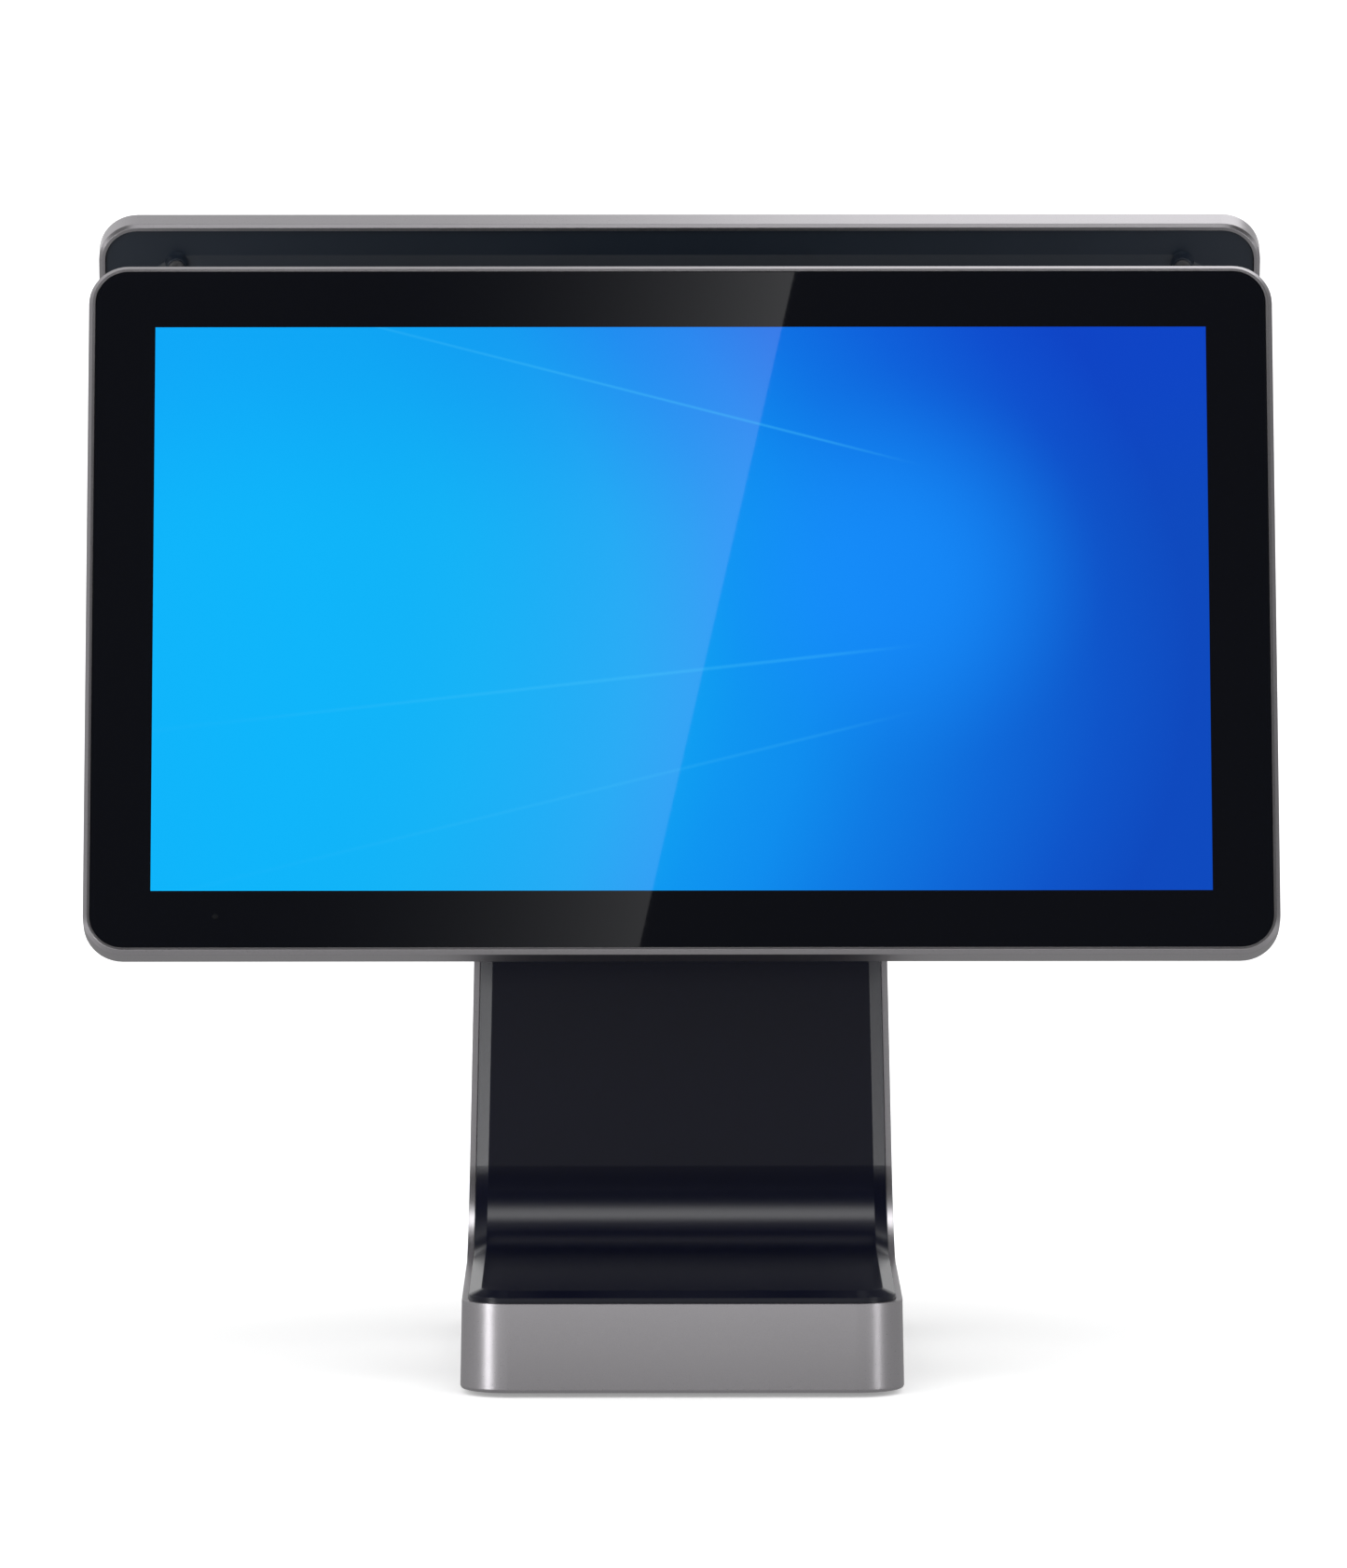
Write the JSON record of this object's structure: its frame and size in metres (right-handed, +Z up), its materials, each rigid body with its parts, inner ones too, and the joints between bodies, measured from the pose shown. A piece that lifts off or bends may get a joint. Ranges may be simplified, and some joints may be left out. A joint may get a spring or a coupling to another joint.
{
  "type": "pos touchscreen terminal",
  "caption": "Point-of-sale terminal: an L-shaped aluminium stand carries a tilting operator touchscreen and a tilting customer display back to back.",
  "frame": {"origin": "centre of the whole terminal's footprint, at the counter the rubber feet stand on", "axes": "+Z up; -Y towards the operator, +Y towards the customer; +X to the operator's right"},
  "size_m": [0.388, 0.3188, 0.369],
  "materials": {
    "space_grey_aluminium": "bead-blasted, anodised",
    "black_gloss_cover": "satin gloss",
    "black_plastic": "fine texture",
    "cover_glass": "polished, black print behind the border",
    "display_module": "lit picture",
    "steel": "zinc plated",
    "black_steel": "black powder coat",
    "cast_arm": "black anodised casting",
    "rubber": "matt",
    "circuit_board": "solder mask",
    "socket_metal": "tin plated",
    "socket_plastic": "moulded",
    "heat_sink_metal": "extruded",
    "button_metal": "turned",
    "lamp_lens": "clear"
  },
  "bodies": {
    "stand": {"back_cover_screws": "black_steel", "base_speaker": "socket_plastic", "board_standoffs": "socket_metal", "bottom_plate": "black_steel", "bottom_plate_screws": "black_steel", "breakout_board": "circuit_board", "cash_drawer_socket": "socket_plastic", "column_back_cover": "black_plastic", "computer_board": "circuit_board", "customer_friction_washers": "steel", "customer_hinge_nuts": "steel", "customer_hinge_shaft": "steel", "display_cables": "rubber", "heat_sink": "heat_sink_metal", "main_friction_washers": "steel", "main_hinge_nuts": "steel", "main_hinge_shaft": "steel", "memory_module": "circuit_board", "network_socket": "socket_metal", "power_inlet": "socket_plastic", "power_switch": "socket_plastic", "rubber_feet": "rubber", "socket_plate": "steel", "solid_state_drive": "circuit_board", "spine_bracket": "steel", "spine_screws": "black_steel", "stand_frame": "space_grey_aluminium", "stand_front_cover": "black_gloss_cover", "usb_sockets": "socket_metal", "video_socket": "socket_metal"},
    "main_head": {"main_arm_screws": "black_steel", "main_chassis_plate": "steel", "main_cover_screws": "black_steel", "main_display_panel": "display_module", "main_driver_board": "circuit_board", "main_glass": "cover_glass", "main_hinge_arm": "cast_arm", "main_hinge_cover": "black_plastic", "main_rear_cover": "black_plastic", "main_rim": "space_grey_aluminium", "main_status_lens": "lamp_lens"},
    "customer_head": {"customer_arm_screws": "black_steel", "customer_chassis_plate": "steel", "customer_cover_screws": "black_steel", "customer_display_panel": "display_module", "customer_driver_board": "circuit_board", "customer_glass": "cover_glass", "customer_hinge_arm": "cast_arm", "customer_hinge_cover": "black_plastic", "customer_rear_cover": "black_plastic", "customer_rim": "space_grey_aluminium"},
    "power_button": {"power_button": "button_metal"}
  },
  "joints": [
    {"name": "main_tilt", "type": "hinge", "parent": "stand", "child": "main_head", "pos_m": [0, -0.02357, 0.22812], "axis": [1, 0, 0], "range_deg": [-18, 16]},
    {"name": "customer_tilt", "type": "hinge", "parent": "stand", "child": "customer_head", "pos_m": [0, 0.0671, 0.24026], "axis": [1, 0, 0], "range_deg": [-15, 12]},
    {"name": "power_button_press", "type": "slide", "parent": "stand", "child": "power_button", "axis": [-1, 0, 0], "range_m": [0, 0.0007], "stiffness_N_per_m": 1000}
  ]
}
